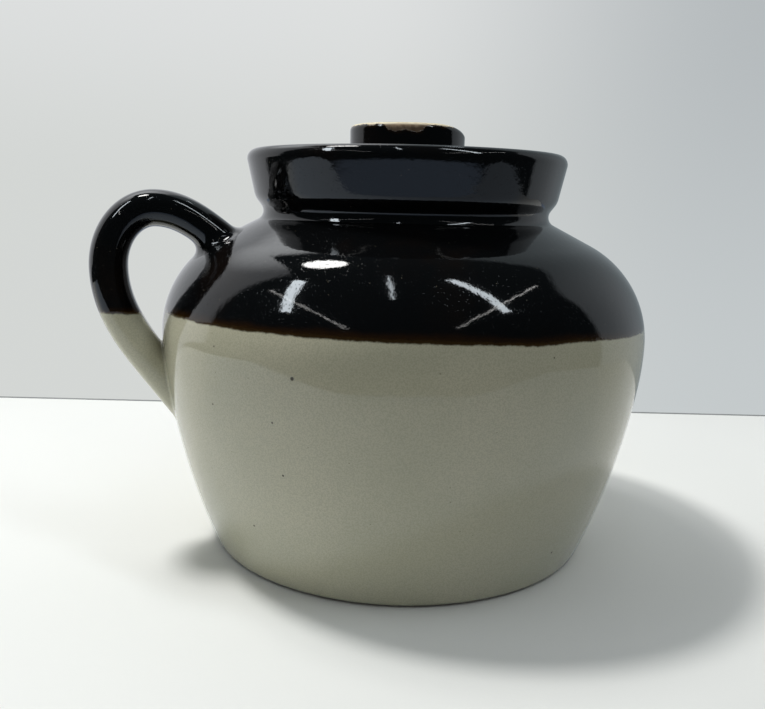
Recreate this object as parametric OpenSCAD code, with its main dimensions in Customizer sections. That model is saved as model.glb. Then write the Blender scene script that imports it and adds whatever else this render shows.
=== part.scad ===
// Stoneware bean pot: a thrown pot with a flared collar, a loop handle luted to
// its shoulder and belly, and a lift-off lid that sits down inside the collar.
// Millimetres. The origin is the centre of the flat foot, on the pot's axis.
// +Z is up and the handle points along -X.

/* [Pot outside] */
// Widest diameter of the belly
belly_d = 190; // [184:1:198]
// Height of the widest point above the foot
belly_z = 83.2; // [78:0.2:90]
// How far the lower wall would stand in from the belly at the table
foot_in = 19.4; // [16:0.2:22]
// Rounding of the foot's outer edge
foot_round = 3.4; // [2:0.2:6]
// Radius of the wall's curve just below the widest point
belly_curve_r = 107; // [95:1:120]
// Angle that this curve covers
belly_curve_angle = 7.6; // [5:0.2:11]
// Radius of the shoulder's curve, above the widest point
shoulder_r = 40.3; // [36:0.1:44]
// Slope of the shoulder above its curve, from horizontal
shoulder_slope = 27; // [22:1:32]
// Radius of the hollow between shoulder and collar
neck_hollow_r = 3.6; // [2.4:0.2:5]

/* [Collar] */
// Outer diameter at the rim
rim_d = 126; // [122:1:132]
// How far the neck stands in from the rim
neck_in = 6.8; // [5.6:0.2:8]
// Height of the rim above the narrowest part of the neck
collar_h = 23.1; // [20:0.1:28]
// Flare of the collar's outer face, from vertical
collar_flare = 12; // [9:0.5:14]
// Slope of the collar's underside, from vertical
collar_bevel = 37; // [32:1:44]
// Rounding of the collar's lower corner
collar_round = 7.6; // [3:0.2:9]
// Thickness of the collar at the rim
collar_wall = 6.2; // [5.8:0.1:7.5]
// Rounding of the rim's outer edge
rim_round = 3.6; // [2:0.2:3.6]
// Rounding of the rim's inner edge
rim_inner_round = 2.2; // [1:0.2:2.2]

/* [Pot inside] */
// Thickness of the belly's wall
wall = 6.5; // [5:0.5:8]
// Thickness of the bottom
floor_t = 7.5; // [6:0.5:10]
// Rounding between the bottom and the wall inside
floor_round = 14; // [8:1:20]
// Depth of the lid's ledge below the rim
ledge_depth = 15; // [14:0.5:16]
// Flare of the collar's inner face, from vertical
well_flare = 9; // [5:1:11]
// Width of the ledge that carries the lid
ledge_w = 5.4; // [4.6:0.2:6]
// Rounding where the throat opens into the belly
throat_round = 3; // [1:0.5:4]

/* [Lid] */
// Clearance between the lid's edge and the collar
lid_gap = 0.8; // [0.5:0.1:1.2]
// Clearance between the lid's locating ring and the throat
ring_gap = 1.4; // [1:0.1:2]
// Thickness of the lid at its edge
lid_edge_t = 5.5; // [4.5:0.1:7]
// Rise of the lid's dome from its edge to its middle
lid_rise = 3; // [2:0.2:5]
// Thickness of the lid's middle
lid_t = 6; // [5:0.2:7]
// Depth of the locating ring below the ledge
ring_h = 5; // [4:0.5:7]
// Width of the locating ring
ring_w = 7; // [5:0.5:9]
// Rounding of the lid's edges
lid_round = 1.6; // [0.8:0.2:2]

/* [Knob] */
// Diameter of the knob's head
knob_d = 45; // [40:0.5:48]
// Height of the knob above the lid
knob_h = 17; // [15:0.5:20]
// Height of the head's straight side, with its roundings
knob_head_h = 10.5; // [9:0.5:12]
// Diameter of the knob's foot
knob_foot_d = 31; // [27:0.5:34]
// Rounding of the head's top edge
knob_top_round = 2.2; // [1.2:0.2:3]
// Rounding of the head's lower edge
knob_low_round = 1.4; // [0.8:0.2:2]
// Radius of the hollow under the head
knob_cove_r = 4.6; // [3:0.2:5]

/* [Handle] */
// How far the loop stands out from the belly
handle_reach = 25; // [24:0.2:34]
// Depth of the loop's top below the rim
handle_drop = 16; // [12:0.2:18]
// Distance of the loop's highest point in from its outermost point
handle_top_in = 23.8; // [22:0.2:28]
// Depth of the outermost point below the highest point
handle_out_drop = 28.5; // [25:0.5:33]
// Distance of the upper end's middle up the shoulder's slope
handle_up_on = 0; // [0:0.2:3]
// Height at which the lower arm's middle meets the pot
handle_low_z = 66; // [62:0.5:71]
// Slope of the upper arm at the shoulder, from horizontal
handle_up_slope = 38; // [28:1:40]
// Slope of the lower arm at the belly, from vertical
handle_low_slope = 36; // [34:1:44]
// Thickness of the loop, seen from the side
handle_t = 13.8; // [13:0.2:17]
// Thickness at the loop's top
handle_top_t = 13.6; // [12:0.2:15]
// Width of the loop, seen end on
handle_w = 23; // [20:0.5:27]
// Extra width of the ends, where they are worked onto the pot
handle_end_w = 5; // [4:0.5:12]

/* [Hidden] */
$fn = 144;

dark_glaze = "#241d1a";
stone_glaze = "#98958a";
bare_clay = "#b48a62";

belly_r = belly_d / 2;
rim_r = rim_d / 2;
knob_r = knob_d / 2;
knob_foot_r = knob_foot_d / 2;

function unit(v) = v / norm(v);

// Belly curve: its centre lies on the level of the widest point.
belly_c = [belly_r - belly_curve_r, belly_z];
// Direction from the belly curve's centre to the join with the lower wall
join_dir = [cos(belly_curve_angle), -sin(belly_curve_angle)];
join = belly_c + belly_curve_r * join_dir;
// Lower wall: one arc, tangent to the belly curve, that reaches the table foot_in
// nearer the axis than the belly.
foot_to_join = join - [belly_r - foot_in, 0];
lower_r = foot_to_join * foot_to_join / (2 * join_dir * foot_to_join);
lower_c = join - lower_r * join_dir;

// Shoulder: an arc from the widest point, then a straight slope tangent to it.
shoulder_c = [belly_r - shoulder_r, belly_z];
shoulder_dir = [sin(shoulder_slope), cos(shoulder_slope)];
slope_dir = [-cos(shoulder_slope), sin(shoulder_slope)];
function shoulder_end(inset) = shoulder_c + (shoulder_r - inset) * shoulder_dir;

// Neck hollow: tangent to the shoulder's slope and to the collar's underside.
neck_r = rim_r - neck_in;
hollow_c = let (s = shoulder_end(0), x = neck_r + neck_hollow_r)
    [x, s.y + (neck_hollow_r - (x - s.x) * shoulder_dir.x) / shoulder_dir.y];
neck_z = hollow_c.y;
rim_z = neck_z + collar_h;
bevel_dir = [sin(collar_bevel), cos(collar_bevel)];
bevel_start = hollow_c + neck_hollow_r * [-cos(collar_bevel), sin(collar_bevel)];

// Point where the line from p along u meets the line from q along v
function meet(p, u, q, v) =
    p + u * ((q.x - p.x) * v.y - (q.y - p.y) * v.x) / (u.x * v.y - u.y * v.x);

rim_corner = [rim_r, rim_z];
flare_dir = [sin(collar_flare), cos(collar_flare)];
neck_corner = meet(shoulder_end(0), slope_dir, bevel_start, bevel_dir);
collar_corner = meet(bevel_start, bevel_dir, rim_corner, flare_dir);

// Inside: the well in the collar, the ledge and the throat
ledge_z = rim_z - ledge_depth;
well_r = rim_r - collar_wall;
ledge_r = well_r - ledge_depth * tan(well_flare);
throat_r = ledge_r - ledge_w;
throat_low = meet(shoulder_end(wall), slope_dir, [throat_r, 0], [0, 1]);

// Lid
lid_r = ledge_r - lid_gap;
ring_r = throat_r - ring_gap;
lid_edge_z = ledge_z + lid_edge_t;
dome_r = (lid_r * lid_r + lid_rise * lid_rise) / (2 * lid_rise);
dome_c_z = lid_edge_z + lid_rise - dome_r;
// The dome is cut level where the knob sits
knob_seat_r = knob_foot_r + 1.5;
knob_z = dome_c_z + sqrt(dome_r * dome_r - knob_seat_r * knob_seat_r);

// Part of a disc between two heights, right of the axis
module slab(z_low, z_high, centre, r)
    intersection() {
        translate(centre) circle(r);
        translate([0, z_low]) square([belly_d, z_high - z_low]);
    }

// Piece between a corner at q, with sides toward p and s, and its rounding arc.
// It runs a little past the corner, so that its sides cross the outline.
module corner_piece(p, q, s, r) {
    a = unit(p - q);
    b = unit(s - q);
    half = acos(a * b) / 2;
    reach = r / tan(half);
    middle = unit(a + b);
    difference() {
        polygon([q - middle * reach / 4, q + a * reach, q + b * reach]);
        translate(q + middle * r / sin(half)) circle(r);
    }
}

// The belly's outline, moved in by inset, from base_z to the shoulder's slope.
// base_round is the rounding at the bottom.
function belly_base_c(inset, base_z, base_round) =
    let (r = lower_r - inset - base_round, z = base_z + base_round)
    [lower_c.x + sqrt(r * r - pow(z - lower_c.y, 2)), z];
function belly_knots(inset, base_z, base_round) =
    let (c = belly_base_c(inset, base_z, base_round))
    [[0, base_z], [c.x, base_z], c + base_round * unit(c - lower_c),
     belly_c + (belly_curve_r - inset) * join_dir, [belly_r - inset, belly_z],
     shoulder_end(inset)];
module belly_curves(inset, base_z, base_round) {
    knots = belly_knots(inset, base_z, base_round);
    slab(base_z, knots[2].y, belly_base_c(inset, base_z, base_round), base_round);
    slab(knots[2].y, knots[3].y, lower_c, lower_r - inset);
    slab(knots[3].y, belly_z, belly_c, belly_curve_r - inset);
    slab(belly_z, knots[5].y, shoulder_c, shoulder_r - inset);
}

// Outside of the pot, filled to the axis
module outer_outline() {
    difference() {
        polygon([each belly_knots(0, 0, foot_round),
                 neck_corner, collar_corner, rim_corner, [0, rim_z]]);
        corner_piece(neck_corner, collar_corner, rim_corner, collar_round);
        corner_piece(collar_corner, rim_corner, [0, rim_z], rim_round);
    }
    belly_curves(0, 0, foot_round);
    corner_piece(shoulder_end(0), neck_corner, collar_corner, neck_hollow_r);
}

// Inside of the pot, open at the rim
module inner_outline() {
    throat_top = [throat_r, ledge_z];
    ledge_out = [ledge_r, ledge_z];
    well_top = [well_r, rim_z];
    polygon([each belly_knots(wall, floor_t, floor_round),
             throat_low, throat_top, ledge_out, well_top,
             well_top + [0, wall], [0, rim_z + wall]]);
    belly_curves(wall, floor_t, floor_round);
    corner_piece(shoulder_end(wall), throat_low, throat_top, throat_round);
    corner_piece(ledge_out, well_top, rim_corner, rim_inner_round);
}

module pot_shell()
    rotate_extrude()
        difference() {
            outer_outline();
            inner_outline();
        }

module pot_body() color(stone_glaze) pot_shell();

// Handle: its middle line runs in the plane y = 0, from the shoulder over the
// loop's top and round its outside down to the belly. s is the distance from
// the pot's axis.
handle_up = shoulder_end(0) + handle_up_on * slope_dir;
handle_low = [lower_c.x + sqrt(pow(lower_r, 2) - pow(handle_low_z - lower_c.y, 2)),
              handle_low_z];
handle_out = [belly_r + handle_reach - handle_t / 2,
              rim_z - handle_drop - handle_out_drop];
handle_top = [belly_r + handle_reach - handle_top_in,
              rim_z - handle_drop - handle_top_t / 2];
up_dir = [cos(handle_up_slope), sin(handle_up_slope)];
low_dir = [-sin(handle_low_slope), -cos(handle_low_slope)];
// Share of a quarter's side at which a cubic curve follows a circle
quarter = 0.5523;
// Length of the pull at each end of an arm's curve
arm_pull = 0.36;
// Depth to which the sweep runs on inside the pot before it is cut
sink = 20;

function curve(p, u) =
    pow(1 - u, 3) * p[0] + 3 * u * pow(1 - u, 2) * p[1]
    + 3 * u * u * (1 - u) * p[2] + pow(u, 3) * p[3];
function curve_dir(p, u) =
    unit((1 - u) * (1 - u) * (p[1] - p[0]) + 2 * u * (1 - u) * (p[2] - p[1])
    + u * u * (p[3] - p[2]));

up_span = norm(handle_top - handle_up);
low_span = norm(handle_out - handle_low);
up_curve = [handle_up, handle_up + arm_pull * up_span * up_dir,
            handle_top - [arm_pull * up_span, 0], handle_top];
out_curve = [handle_top, handle_top + [quarter * (handle_out.x - handle_top.x), 0],
             handle_out + [0, quarter * (handle_top.y - handle_out.y)], handle_out];
low_curve = [handle_out, handle_out - [0, arm_pull * low_span],
             handle_low - arm_pull * low_span * low_dir, handle_low];

// One ring of the sweep: middle, direction, half the thickness and half the width.
// spread is 1 at the ends, where the ring is widest, and 0 along the loop.
function ring(middle, dir, t, spread) =
    [middle, dir, t / 2, (handle_w + handle_end_w * spread) / 2];
steps = 10;
rings = [
    ring(handle_up - sink * up_dir, up_dir, handle_t, 1),
    for (i = [0 : steps]) let (u = i / steps)
        ring(curve(up_curve, u), curve_dir(up_curve, u),
             handle_t + (handle_top_t - handle_t) * u, pow(1 - u, 3)),
    for (i = [1 : steps]) let (u = i / steps)
        ring(curve(out_curve, u), curve_dir(out_curve, u),
             handle_top_t + (handle_t - handle_top_t) * u, 0),
    for (i = [1 : steps]) let (u = i / steps)
        ring(curve(low_curve, u), curve_dir(low_curve, u), handle_t, pow(u, 3)),
    ring(handle_low + sink * low_dir, low_dir, handle_t, 1),
];
sides = 24;

// Oval section point at angle a, between an ellipse and a rounded box
function oval(a) = [sign(cos(a)) * pow(abs(cos(a)), 0.82),
                    sign(sin(a)) * pow(abs(sin(a)), 0.82)];
function ring_points(r) = [
    for (k = [0 : sides - 1])
        let (o = oval(360 * k / sides),
             p = r[0] + r[2] * o.x * [-r[1].y, r[1].x])
        [-p.x, r[3] * o.y, p.y]
];

module handle_sweep() {
    last = len(rings) - 1;
    polyhedron(
        points = [for (r = rings) each ring_points(r)],
        faces = [
            [for (k = [0 : sides - 1]) k],
            for (i = [0 : last - 1], k = [0 : sides - 1])
                let (n = (k + 1) % sides, a = i * sides, b = a + sides)
                each [[a + k, b + k, b + n], [a + k, b + n, a + n]],
            [for (k = [sides - 1 : -1 : 0]) last * sides + k],
        ],
        convexity = 4);
}

module handle()
    color(dark_glaze)
        difference() {
            handle_sweep();
            rotate_extrude() outer_outline();
        }

module lid_outline() {
    edge_top = [lid_r, lid_edge_z];
    ring_low_z = ledge_z - ring_h;
    hollow_r = ring_r - ring_w;
    difference() {
        union() {
            translate([0, ledge_z]) square([lid_r, lid_edge_t]);
            slab(lid_edge_z, knob_z, [0, dome_c_z], dome_r);
            translate([0, ring_low_z]) square([ring_r, ring_h]);
        }
        corner_piece([lid_r, ledge_z], edge_top, [0, lid_edge_z], lid_round);
        corner_piece([0, ring_low_z], [ring_r, ring_low_z], [ring_r, ledge_z], lid_round);
        // hollow under the lid, parallel to the dome
        intersection() {
            translate([0, dome_c_z]) circle(dome_r - lid_t);
            translate([0, ring_low_z]) square([hollow_r, ring_h + lid_edge_t]);
        }
        corner_piece([ring_r, ring_low_z], [hollow_r, ring_low_z], [hollow_r, ledge_z],
                     lid_round);
    }
}

module lid() color(dark_glaze) rotate_extrude() lid_outline();

module knob_outline() {
    head_z = knob_z + knob_h - knob_head_h;
    top_z = knob_z + knob_h;
    difference() {
        translate([0, head_z]) square([knob_r, knob_head_h]);
        corner_piece([knob_r, head_z], [knob_r, top_z], [0, top_z], knob_top_round);
        corner_piece([0, head_z], [knob_r, head_z], [knob_r, top_z], knob_low_round);
    }
    translate([0, knob_z]) square([knob_foot_r, head_z - knob_z]);
    corner_piece([knob_foot_r, knob_z], [knob_foot_r, head_z], [knob_r, head_z],
                 knob_cove_r);
}

module lid_knob() color(bare_clay) rotate_extrude() knob_outline();

pot_body();
handle();
lid();
lid_knob();
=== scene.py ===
# %% [markdown]
# # A stoneware bean pot
#
# This lesson dresses a finished CAD model of a small bean pot. The pot is thrown on a wheel, its
# handle is pulled from a strap of clay and luted on, and a lid with a knob sits down inside the
# collar. The upper half is dipped in a dark slip glaze and the lower half in a pale one.
#
# The CAD model is the fixed frame. Everything below is in metres and in the CAD model's own
# axes: the origin is the centre of the foot, +Z is up and the handle points along -X.

# %% The CAD model, loaded as a fixed frame
import math

import bpy
import numpy as np
from mathutils import Matrix, Vector


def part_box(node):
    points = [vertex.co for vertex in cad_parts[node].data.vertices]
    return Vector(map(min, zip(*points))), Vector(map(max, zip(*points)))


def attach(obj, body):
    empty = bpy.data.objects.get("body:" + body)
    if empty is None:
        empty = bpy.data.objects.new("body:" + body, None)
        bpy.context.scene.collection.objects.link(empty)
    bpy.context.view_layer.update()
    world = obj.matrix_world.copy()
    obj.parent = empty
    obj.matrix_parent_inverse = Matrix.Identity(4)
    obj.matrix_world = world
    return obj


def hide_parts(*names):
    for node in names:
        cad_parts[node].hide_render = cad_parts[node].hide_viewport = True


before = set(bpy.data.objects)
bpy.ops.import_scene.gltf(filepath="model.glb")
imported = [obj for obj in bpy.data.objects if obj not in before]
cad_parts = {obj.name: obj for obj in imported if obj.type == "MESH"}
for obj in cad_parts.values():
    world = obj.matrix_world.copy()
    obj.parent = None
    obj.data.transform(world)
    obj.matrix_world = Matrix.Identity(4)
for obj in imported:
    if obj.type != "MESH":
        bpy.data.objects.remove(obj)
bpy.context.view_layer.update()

# %% [markdown]
# ## Where the viewer stands
#
# The pot was looked at from about a third of a metre away, a little above its middle. The place
# and the tilt of the eye were worked out from the outline of the pot. The handle lies 15 degrees
# nearer to the viewer than a true side view would have it, so the eye stands a little left of -Y.
# A camera is aimed by giving it three directions: its right, its up and its backward direction.

# %% Camera
IMAGE_W = 765
SENSOR_MM = 36.0
FOCAL_PX = 803.3
HANDLE_TURN = math.radians(15.0)
# How far the eye looks down, turns to the right and rolls, in radians
EYE_DOWN, EYE_TURN, EYE_ROLL = 0.1954, -0.0016, 0.0241
# Where the eye stands: right, away from the viewer and up
EYE_PLACE = (-0.0072, -0.3253, 0.1366)


def turned(x, y):
    """A level direction seen from the viewer's side, in the CAD model's axes."""
    c, s = math.cos(HANDLE_TURN), math.sin(HANDLE_TURN)
    return x * c + y * s, -x * s + y * c


def from_viewer(x, y, z):
    """A direction or point given as right, away from the viewer and up, in the CAD's axes."""
    return Vector((*turned(x, y), z))


to_right = from_viewer(math.cos(EYE_TURN), -math.sin(EYE_TURN), 0)
level_ahead = from_viewer(math.sin(EYE_TURN), math.cos(EYE_TURN), 0)
ahead = level_ahead * math.cos(EYE_DOWN) + Vector((0, 0, -math.sin(EYE_DOWN)))
upward = level_ahead * math.sin(EYE_DOWN) + Vector((0, 0, math.cos(EYE_DOWN)))
eye = from_viewer(*EYE_PLACE)

camera_x = to_right * math.cos(EYE_ROLL) + upward * math.sin(EYE_ROLL)
camera_y = upward * math.cos(EYE_ROLL) - to_right * math.sin(EYE_ROLL)
axes = Matrix((camera_x, camera_y, -ahead)).transposed().to_4x4()

camera_data = bpy.data.cameras.new("camera")
camera_data.sensor_width = SENSOR_MM
camera_data.lens = SENSOR_MM * FOCAL_PX / IMAGE_W
camera_data.clip_start = 0.01
camera = bpy.data.objects.new("camera", camera_data)
camera.matrix_world = Matrix.Translation(eye) @ axes
bpy.context.scene.collection.objects.link(camera)
bpy.context.scene.camera = camera
print("eye at", [round(v, 4) for v in eye], "lens", round(camera_data.lens, 2), "mm")

# %% [markdown]
# ## A short way to write nodes
#
# A material is a little machine of nodes. Written out in full, each node takes four or five
# lines, which hides what the material says. These helpers add one node each and hand back the
# socket that comes out of it, so that a recipe reads from top to bottom like a sum.

# %% Helpers for nodes
def add(tree, kind, inputs=(), out=0, **settings):
    """Adds a node, sets its settings, fills or links its inputs, and returns one output."""
    made = tree.nodes.new(kind)
    for key, value in settings.items():
        setattr(made, key, value)
    for key, value in dict(inputs).items():
        if isinstance(value, bpy.types.NodeSocket):
            tree.links.new(value, made.inputs[key])
        else:
            made.inputs[key].default_value = value
    return made.outputs[out]


def calc(tree, operation, a, b=0.0, c=0.0):
    """One step of arithmetic on sockets or numbers."""
    return add(tree, "ShaderNodeMath", {0: a, 1: b, 2: c}, operation=operation)


def rise(tree, value, low, high, to=1.0):
    """0 below low, then a soft rise to the full value at high."""
    return add(tree, "ShaderNodeMapRange", {0: value, 1: low, 2: high, 3: 0.0, 4: to},
               interpolation_type="SMOOTHSTEP")


def noise(tree, where, scale, detail=2.0, rough=0.5):
    """Soft random values around 0.5; scale is in lumps per metre."""
    return add(tree, "ShaderNodeTexNoise",
               {"Vector": where, "Scale": scale, "Detail": detail, "Roughness": rough})


def blend_colours(tree, share, low, high, how="MIX"):
    """The low colour where share is 0 and the high one where it is 1."""
    return add(tree, "ShaderNodeMix", {0: share, 6: low, 7: high}, out=2,
               data_type="RGBA", blend_type=how)


def blend_values(tree, share, low, high):
    """The low value where share is 0 and the high one where it is 1."""
    return add(tree, "ShaderNodeMix", {0: share, 2: low, 3: high}, data_type="FLOAT")


def dot(tree, where, way):
    """How far a place lies along a direction."""
    return add(tree, "ShaderNodeVectorMath", {0: where, 1: way}, out=1, operation="DOT_PRODUCT")


def height_of(tree, where):
    """Height above the table, in metres."""
    return add(tree, "ShaderNodeSeparateXYZ", {0: where}, out="Z")


def ramp(tree, value, stops):
    """A colour ramp from a list of (place, colour)."""
    made = tree.nodes.new("ShaderNodeValToRGB")
    tree.links.new(value, made.inputs[0])
    while len(made.color_ramp.elements) < len(stops):
        made.color_ramp.elements.new(0.5)
    for stop, (place, colour) in zip(made.color_ramp.elements, stops):
        stop.position = place
        stop.color = colour
    return made.outputs[0]


def rgb(r, g, b):
    return (r, g, b, 1.0)


GLASS_IOR = 1.5


def new_finish(name):
    """A material with its main shader, and the piece's own coordinates in metres."""
    material = bpy.data.materials.new(name)
    material.use_nodes = True
    tree = material.node_tree
    shader = tree.nodes["Principled BSDF"]
    shader.inputs["IOR"].default_value = GLASS_IOR
    where = add(tree, "ShaderNodeTexCoord", out="Object")
    return material, tree, shader, where


# %% [markdown]
# ## The two glazes of the pot
#
# The pot was held upside down and dipped in dark slip glaze as far as its widest part, after its
# lower half had been given a pale one. The dip line is not a printed edge: it tilts a little,
# wanders, has a torn fine edge, and where the dark glaze runs out thin over the pale one it burns
# to a rusty brown. So the line is a height in the material, bent by two sizes of noise, and the
# colour follows the distance above that line.
#
# The pale glaze is semi-matt and never even: it is cloudy, finely grained like eggshell, and has
# iron specks and a few pinholes. The dark glaze is glossy, close to black, with a skin like
# orange peel so fine that only the lamps' reflections show it.

# %% Colours of the glazes and the clay
DARK = rgb(0.0024, 0.0027, 0.0030)
DARK_WARM = rgb(0.0050, 0.0034, 0.0027)
RUST = rgb(0.046, 0.026, 0.0060)
UMBER = rgb(0.017, 0.0072, 0.0016)
PALE = rgb(0.505, 0.494, 0.367)
PALE_LIGHT = rgb(0.560, 0.540, 0.410)
PALE_GREY = rgb(0.455, 0.452, 0.346)
PALE_SAND = rgb(0.370, 0.362, 0.268)
SPECK = rgb(0.035, 0.026, 0.020)
CLAY = rgb(0.520, 0.395, 0.265)
CLAY_DARK = rgb(0.245, 0.160, 0.092)
CREAM = rgb(0.760, 0.690, 0.500)
# Near black for the foot's bare band: painted shade in the crease where the foot meets the paper
PAINTED_FOOT_SHADE = rgb(0.075, 0.055, 0.040)

# %% Round spots, for specks, pinholes and grit
def spots(tree, where, per_metre, share, size):
    """1 in small round spots: so large a share of the cells holds a spot of that radius."""
    near = tree.nodes.new("ShaderNodeTexVoronoi")
    near.inputs["Scale"].default_value = per_metre
    tree.links.new(where, near.inputs["Vector"])
    pick = add(tree, "ShaderNodeSeparateColor", {0: near.outputs["Color"]})
    edge = size * per_metre
    outside_spot = rise(tree, near.outputs["Distance"], edge * 0.5, edge)
    inside_spot = calc(tree, "SUBTRACT", 1.0, outside_spot)
    return calc(tree, "MULTIPLY", inside_spot, calc(tree, "LESS_THAN", pick, share))


# %% Dark glaze, as colour, roughness and relief
PEEL_RELIEF, GRAIN_RELIEF, GRIT_RELIEF = 0.000028, 0.0000048, 0.000015


def dark_glaze(tree, where):
    """Colour, roughness and height in metres of the dark glaze."""
    cloud = noise(tree, where, 38.0, 3.0)
    colour = blend_colours(tree, rise(tree, cloud, 0.48, 0.72), DARK, DARK_WARM)
    # Pale specks, partly dust and partly painted glints that stand in for the glaze's sparkle
    small_specks = calc(tree, "MULTIPLY", spots(tree, where, 420.0, 0.30, 0.00020), 0.16)
    colour = blend_colours(tree, small_specks, colour, CREAM)
    peel = noise(tree, where, 380.0, 2.0)
    grain = noise(tree, where, 2300.0, 1.0)
    grit = spots(tree, where, 900.0, 0.75, 0.00021)
    height = calc(tree, "MULTIPLY", grain, GRAIN_RELIEF)
    height = calc(tree, "MULTIPLY_ADD", peel, PEEL_RELIEF, height)
    height = calc(tree, "MULTIPLY_ADD", grit, GRIT_RELIEF, height)
    rough = blend_values(tree, noise(tree, where, 90.0, 3.0), 0.03, 0.07)
    return colour, rough, height


# %% Pale glaze, with its specks and pinholes
MM = 0.001
EGG_RELIEF, PIT_DEPTH = 0.000007, 0.00006
# Place and radius of each speck that stands out
SPECKS_MM = [((-56.5, -76.3, 81.5), 0.75), ((-61.9, -70.4, 66.2), 0.5), ((-58.3, -69.2, 48.2), 0.5),
             ((22.3, -91.9, 88.9), 0.35), ((-66.0, -52.8, 25.0), 0.5), ((36.2, -72.6, 14.5), 0.5)]


def pale_glaze(tree, where):
    """Colour, roughness and height in metres of the pale glaze."""
    cloud = noise(tree, where, 22.0, 3.0)
    colour = blend_colours(tree, rise(tree, cloud, 0.35, 0.70), PALE, PALE_LIGHT)
    smoke = rise(tree, noise(tree, where, 9.0, 2.0), 0.50, 0.72, 0.55)
    colour = blend_colours(tree, smoke, colour, PALE_GREY)
    grain = noise(tree, where, 1500.0, 2.0)
    colour = blend_colours(tree, rise(tree, grain, 0.55, 0.80, 0.45), colour, PALE_GREY)
    sand = rise(tree, noise(tree, where, 2100.0, 1.0), 0.40, 0.62, 0.45)
    colour = blend_colours(tree, sand, colour, PALE_SAND)
    specks = spots(tree, where, 62.0, 0.6, 0.00055)
    for place_mm, radius_mm in SPECKS_MM:
        centre = tuple(v * MM for v in place_mm)
        far = add(tree, "ShaderNodeVectorMath", {0: where, 1: centre}, out=1, operation="DISTANCE")
        outside_speck = rise(tree, far, 0.5 * radius_mm * MM, 1.1 * radius_mm * MM)
        specks = calc(tree, "MAXIMUM", specks, calc(tree, "SUBTRACT", 1.0, outside_speck))
    small_specks = spots(tree, where, 150.0, 0.8, 0.00030)
    colour = blend_colours(tree, calc(tree, "MULTIPLY", specks, 0.9), colour, SPECK)
    colour = blend_colours(tree, calc(tree, "MULTIPLY", small_specks, 0.45), colour, SPECK)
    egg = noise(tree, where, 420.0, 2.0)
    height = calc(tree, "MULTIPLY_ADD", egg, EGG_RELIEF, calc(tree, "MULTIPLY", specks, -PIT_DEPTH))
    rough = blend_values(tree, noise(tree, where, 60.0, 3.0), 0.03, 0.055)
    return colour, rough, height


# %% The dip line, where one glaze ends
LINE_TILT_X, LINE_TILT_Y = -0.0242, -0.0333
# Lumps per metre and size in metres of each wander of the line
LINE_WANDERS = ((34.0, 0.0022), (260.0, 0.0009), (900.0, 0.0005))
# Height over which the dark glaze runs out thin, at least and at most, and its edge's thickness
FADE_LEAST, FADE_MOST, DIP_STEP = 0.0016, 0.0064, 0.00016


def above_line(tree, where, line_z):
    """Height in metres above the dip line."""
    place = add(tree, "ShaderNodeSeparateXYZ", {0: where}).node.outputs
    flat = calc(tree, "SUBTRACT", place["Z"], line_z)
    flat = calc(tree, "MULTIPLY_ADD", place["X"], -LINE_TILT_X, flat)
    flat = calc(tree, "MULTIPLY_ADD", place["Y"], -LINE_TILT_Y, flat)
    for scale, size in LINE_WANDERS:
        wander = calc(tree, "SUBTRACT", noise(tree, where, scale, 2.0, 0.6), 0.5)
        flat = calc(tree, "MULTIPLY_ADD", wander, size, flat)
    return flat


def two_glazes(tree, where, line_z):
    """The pale glaze below the dip line and the dark one above it."""
    over = above_line(tree, where, line_z)
    dark_colour, dark_rough, dark_height = dark_glaze(tree, where)
    pale_colour, pale_rough, pale_height = pale_glaze(tree, where)
    thin = noise(tree, where, 70.0, 2.0)
    fade = calc(tree, "DIVIDE", over, blend_values(tree, thin, FADE_LEAST, FADE_MOST))
    rusty = ramp(tree, fade, [(0.0, RUST), (0.30, UMBER), (0.66, DARK_WARM), (1.0, DARK)])
    dark_colour = blend_colours(tree, rise(tree, fade, 0.55, 1.0), rusty, dark_colour)
    covered = rise(tree, over, -0.00045, 0.00030)
    colour = blend_colours(tree, covered, pale_colour, dark_colour)
    rough = blend_values(tree, covered, pale_rough, dark_rough)
    step = rise(tree, over, -0.0003, 0.0009, DIP_STEP)
    height = calc(tree, "ADD", blend_values(tree, covered, pale_height, dark_height), step)
    return colour, rough, height


def finish_with(tree, shader, colour, rough, height):
    """Links a recipe's colour, roughness and height to the shader."""
    relief = add(tree, "ShaderNodeBump", {"Height": height, "Distance": 1.0, "Strength": 1.0})
    tree.links.new(colour, shader.inputs["Base Color"])
    tree.links.new(rough, shader.inputs["Roughness"])
    tree.links.new(relief, shader.inputs["Normal"])


# %% Outside of the pot, down to the bare clay under its foot, with painted shade on the foot's bare band
POT_LINE_Z = 0.0905


def bare_clay(tree, where, per_metre):
    """Mottled fired clay."""
    return blend_colours(tree, noise(tree, where, per_metre, 3.0), CLAY_DARK, CLAY)


pot_finish, tree, shader, where = new_finish("pot_two_glazes")
colour, rough, height = two_glazes(tree, where, POT_LINE_Z)
low = height_of(tree, where)
ragged = calc(tree, "MULTIPLY_ADD", noise(tree, where, 160.0, 2.0), 0.0009, 0.0001)
glazed = rise(tree, calc(tree, "SUBTRACT", low, ragged), 0.0, 0.0004)
# Only the flat underside keeps the clay's own colour; the bare band round the foot is painted near
# black, as painted shade in the crease at the table
clay = blend_colours(tree, rise(tree, low, 0.00001, 0.00005), bare_clay(tree, where, 300.0),
                     PAINTED_FOOT_SHADE)
colour = blend_colours(tree, glazed, clay, colour)
rough = blend_values(tree, glazed, 0.85, rough)
finish_with(tree, shader, colour, rough, height)
print("pot finish has", len(tree.nodes), "nodes")

# %% The same two glazes on the handle, whose dip line lies a little lower
HANDLE_LINE_Z = 0.0893
handle_finish, tree, shader, where = new_finish("handle_two_glazes")
finish_with(tree, shader, *two_glazes(tree, where, HANDLE_LINE_Z))
print("handle finish has", len(tree.nodes), "nodes")

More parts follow.
